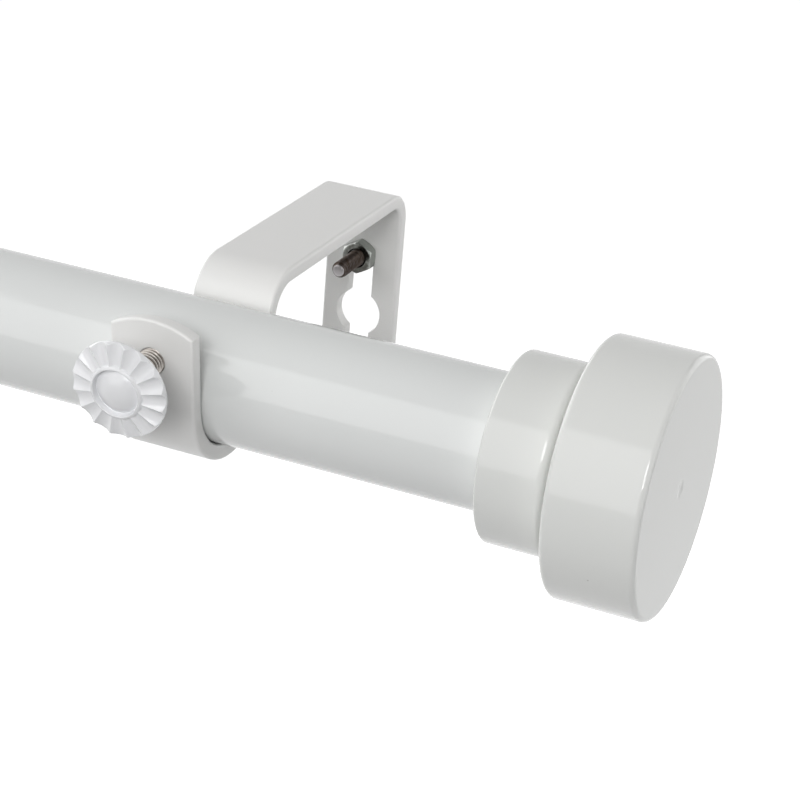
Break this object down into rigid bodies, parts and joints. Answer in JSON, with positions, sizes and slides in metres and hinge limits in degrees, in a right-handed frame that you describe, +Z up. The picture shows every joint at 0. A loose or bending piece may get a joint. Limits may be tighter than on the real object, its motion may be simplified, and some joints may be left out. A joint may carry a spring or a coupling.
{
  "type": "extendable curtain rod",
  "caption": "Telescoping white curtain rod with disc finials, lying in bent-strip wall brackets whose fluted thumb screws clamp it.",
  "frame": {"origin": "where the axis of the right wall bolt leaves the wall, on the rear face of the right bracket", "axes": "+X along the rod towards the end with the larger tube, +Y into the wall, +Z up"},
  "size_m": [0.7496, 0.1254, 0.0663],
  "materials": {
    "tube_paint": "gloss white paint on steel tube",
    "bracket_coat": "satin warm white powder coat",
    "finial_plastic": "gloss white moulding",
    "knob_paint": "gloss white, fluted",
    "screw_steel": "bare rolled thread",
    "nut_zinc": "bright zinc plate",
    "bolt_bronze": "dark bronze finish",
    "bush_plastic": "plain moulding"
  },
  "bodies": {
    "right_support": {"right_bracket": "bracket_coat", "right_wall_bolt": "bolt_bronze", "right_wall_nut": "nut_zinc"},
    "right_clamp": {"right_clamp_screw": "screw_steel"},
    "right_knob": {"right_clamp_knob": "knob_paint"},
    "outer_rod": {"outer_tube": "tube_paint", "mouth_bush": "bush_plastic", "right_finial_collar": "finial_plastic", "right_finial_cap": "finial_plastic"},
    "inner_rod": {"inner_tube": "tube_paint", "glide": "bush_plastic", "left_finial_collar": "finial_plastic", "left_finial_cap": "finial_plastic", "left_finial_sleeve": "bush_plastic"},
    "left_support": {"left_bracket": "bracket_coat", "left_wall_bolt": "bolt_bronze", "left_wall_nut": "nut_zinc"},
    "left_clamp": {"left_clamp_screw": "screw_steel"},
    "left_knob": {"left_clamp_knob": "knob_paint"}
  },
  "joints": [
    {"name": "rod_slide", "type": "slide", "parent": "right_support", "child": "outer_rod", "axis": [1, 0, 0], "range_m": [-0.0538, 0.5]},
    {"name": "telescope", "type": "slide", "parent": "outer_rod", "child": "inner_rod", "axis": [-1, 0, 0], "range_m": [0, 0.508]},
    {"name": "left_bracket_slide", "type": "slide", "parent": "inner_rod", "child": "left_support", "axis": [1, 0, 0], "range_m": [-0.0538, 0.025]},
    {"name": "right_screw_travel", "type": "slide", "parent": "right_support", "child": "right_clamp", "axis": [0, -0.9932, -0.1167], "range_m": [0, 0.0032]},
    {"name": "right_knob_turn", "type": "hinge", "parent": "right_clamp", "child": "right_knob", "pos_m": [0, -0.09394, 0.00827], "axis": [0, -0.9932, -0.1167], "range_deg": [0, 1450]},
    {"name": "left_screw_travel", "type": "slide", "parent": "left_support", "child": "left_clamp", "axis": [0, -0.9932, -0.1167], "range_m": [0, 0.0032]},
    {"name": "left_knob_turn", "type": "hinge", "parent": "left_clamp", "child": "left_knob", "pos_m": [-0.562, -0.09394, 0.00987], "axis": [0, -0.9932, -0.1167], "range_deg": [0, 1450]}
  ],
  "couplings": [
    {"joint": "right_knob_turn", "follows": "right_screw_travel", "rad_per_m": 7854},
    {"joint": "left_knob_turn", "follows": "left_screw_travel", "rad_per_m": 7854}
  ]
}
